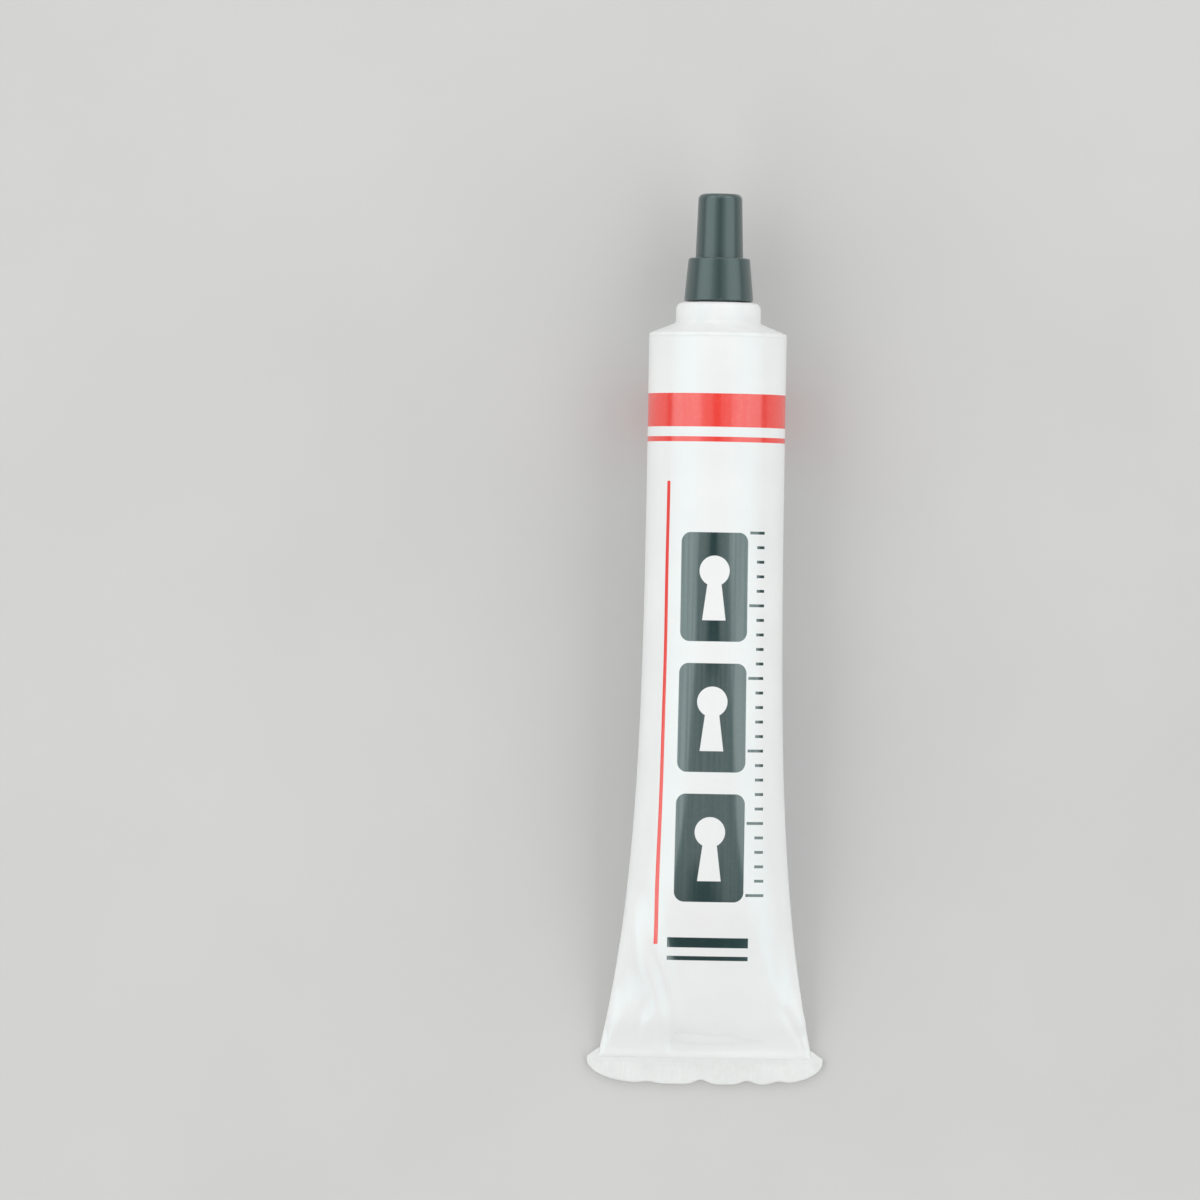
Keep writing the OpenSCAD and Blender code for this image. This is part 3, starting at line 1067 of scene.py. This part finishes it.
# %% [markdown]
# ## The powder
# Graphite powder settles on the lower side of the tube as it lies, with a slightly uneven top. It follows
# the sleeve's rule, drawn in by the wall, and every point above the powder's level is brought down to it.
# The same folds press it, so it stays inside the wall. Flakes of graphite glint, so the finish is a dark,
# half metallic grain.

# %% Powder
POWDER_INSET = 0.7
POWDER_START = 3.2
POWDER_LEVEL = 15.8
RIPPLE_DEPTH = 0.15
GRAPHITE = (0.035, 0.036, 0.04, 1)
GRAPHITE_FLAKE = (0.22, 0.22, 0.24, 1)


def powder_finish():
    finish, tree, spot = new_finish("graphite")
    grain = noise(spot, 6.0, 4.0)
    flakes = ramp(noise(spot, 14.0, 1.0), 0.62, 0.7)
    set_shader(
        tree,
        Base_Color=tinted(flakes, GRAPHITE, GRAPHITE_FLAKE),
        Metallic=0.3 + 0.5 * flakes,
        Roughness=0.7 - 0.35 * flakes,
        Normal=bumped(grain, 0.12),
    )
    return finish


def powder_tree(sizes):
    tree, size = new_tree("powder_rule", sizes)
    grid, share, up = new_grid(tree, 2, 1, size["Girth Steps"] + 1, size["Steps"] + 3)
    row = (up + 0.5) * (size["Steps"] + 2)
    way = ((row - 1) / size["Steps"]).at_least(0).at_most(1)
    along = size["Start"] + (size["End"] - size["Start"]) * way
    closing = (row < 0.5) + (row > size["Steps"] + 1.5)
    x, z, _ = girth_place(share, along, size["Inset"])
    length = along * SLEEVE_LEN
    ripple = RIPPLE_DEPTH * (length * 0.45).sin() * (x * 0.6 + 1).sin() - RIPPLE_DEPTH
    mid = half_height(along).at_most(size["Level"] / 2)
    level = z.at_most(size["Level"] + ripple)
    place = vector(x, rim_y - length, mid + (level - mid) * (1 - closing))
    close_tree(grid, place, size["Finish"])
    return tree


powder_sizes = {
    "Inset": POWDER_INSET,
    "Start": POWDER_START / SLEEVE_LEN,
    "End": share_at(POWDER_INSET + PINCH_HALF_H),
    "Level": POWDER_LEVEL,
    "Girth Steps": 128,
    "Steps": 120,
    "Finish": powder_finish(),
}
powder = grown("graphite_heap", powder_tree(powder_sizes), powder_sizes)
soften(powder)
hand_over(powder, "tube", "graphite_charge")

# %% [markdown]
# ## Floor, light and camera
# The tube lies on a plain pale floor. On either side of the camera hangs a long softbox, with a narrow
# gap between the two: their reflections give the ink a soft sheen with a dark line along the middle. A
# longer, brighter one lower on each side lights the flanks and brings out the folds. A small one over the
# tail closes the gap there, and two at the ends fill the shoulder and the slope of the tail. The sky is
# dim, so what reflects no lamp stays dark. An area lamp's power is worked out from the brightness that
# its face should have, so its size can change alone. The camera looks straight down from far off, a
# little rolled, and its frame is set by the real width that it takes in.

# %% Floor
FLOOR_HALF = 3.0
FLOOR_PALE = (0.6, 0.6, 0.59, 1)
FLOOR_DEEP = (0.57, 0.57, 0.565, 1)


def floor_finish():
    finish, tree, spot = new_finish("pale_floor")
    cloud = noise(spot, 0.02, 4.0)
    set_shader(
        tree,
        Base_Color=tinted(ramp(cloud, 0.35, 0.7), FLOOR_PALE, FLOOR_DEEP),
        Roughness=0.7 + 0.1 * (cloud - 0.5),
    )
    return finish


floor_mesh = bpy.data.meshes.new("floor")
corners = [(-FLOOR_HALF, -FLOOR_HALF, 0), (FLOOR_HALF, -FLOOR_HALF, 0)]
corners += [(FLOOR_HALF, FLOOR_HALF, 0), (-FLOOR_HALF, FLOOR_HALF, 0)]
floor_mesh.from_pydata(corners, [], [(0, 1, 2, 3)])
floor_mesh.materials.append(floor_finish())
floor = bpy.data.objects.new("floor", floor_mesh)
bpy.context.collection.objects.link(floor)
print("floor laid")

# %% Lights
LAMP_DISTANCE = 0.5
SKY_GLOW = 0.05


def softbox(name, pitch, lean, width, length, glow):
    """A softbox that faces the tube, turned from straight above it by degrees to an end and to a side."""
    lamp = bpy.data.lights.new(name, "AREA")
    lamp.shape = "RECTANGLE"
    lamp.size = width
    lamp.size_y = length
    lamp.energy = glow * math.pi * width * length
    stand = bpy.data.objects.new(name, lamp)
    stand.rotation_euler = (math.radians(pitch), math.radians(lean), 0)
    stand.location = stand.rotation_euler.to_matrix() @ Vector((0, 0, LAMP_DISTANCE))
    stand.location.z += axis_z * MM
    bpy.context.collection.objects.link(stand)
    print(f"{name}: {width:.2f} by {length:.2f} m, {lamp.energy:.2f} W")


for side, turn, lower_glow in (("right", 1, 1.43), ("left", -1, 1.5)):
    softbox("upper_" + side, pitch=0, lean=16 * turn, width=0.176, length=1.0, glow=0.6)
    softbox("lower_" + side, pitch=0, lean=53 * turn, width=0.51, length=1.5, glow=lower_glow)
softbox("over_tail", pitch=22, lean=0, width=0.105, length=0.25, glow=0.66)
softbox("cap_end", pitch=-68, lean=0, width=0.8, length=0.36, glow=0.95)
softbox("tail_end", pitch=74, lean=0, width=0.9, length=0.3, glow=0.48)
sky = bpy.data.worlds.new("studio_air")
sky.use_nodes = True
sky_sockets = {"Color": (1, 1, 1, 1), "Strength": SKY_GLOW}
Wire.plug(sky.node_tree, sky.node_tree.nodes["Background"], sky_sockets)
bpy.context.scene.world = sky

# %% Camera
FRAME_PIXELS = 1200
MM_PER_PIXEL = 0.1383
TUBE_CENTRE = (712.7, 641.0)
ROLL = math.radians(1.0)
FOCAL_MM = 300

lens = bpy.data.cameras.new("camera")
lens.lens = FOCAL_MM
view_width = FRAME_PIXELS * MM_PER_PIXEL
distance = view_width * lens.lens / lens.sensor_width
right = (TUBE_CENTRE[0] - FRAME_PIXELS / 2) * MM_PER_PIXEL
down = (TUBE_CENTRE[1] - FRAME_PIXELS / 2) * MM_PER_PIXEL
camera = bpy.data.objects.new("camera", lens)
camera.location = (
    (-right * math.cos(ROLL) - down * math.sin(ROLL)) * MM,
    (-right * math.sin(ROLL) + down * math.cos(ROLL)) * MM,
    (axis_z + distance) * MM,
)
camera.rotation_euler = (0, 0, ROLL)
bpy.context.collection.objects.link(camera)
bpy.context.scene.camera = camera
bpy.context.scene.view_settings.view_transform = "Standard"
print(f"camera {distance:.0f} mm above the tube's axis")
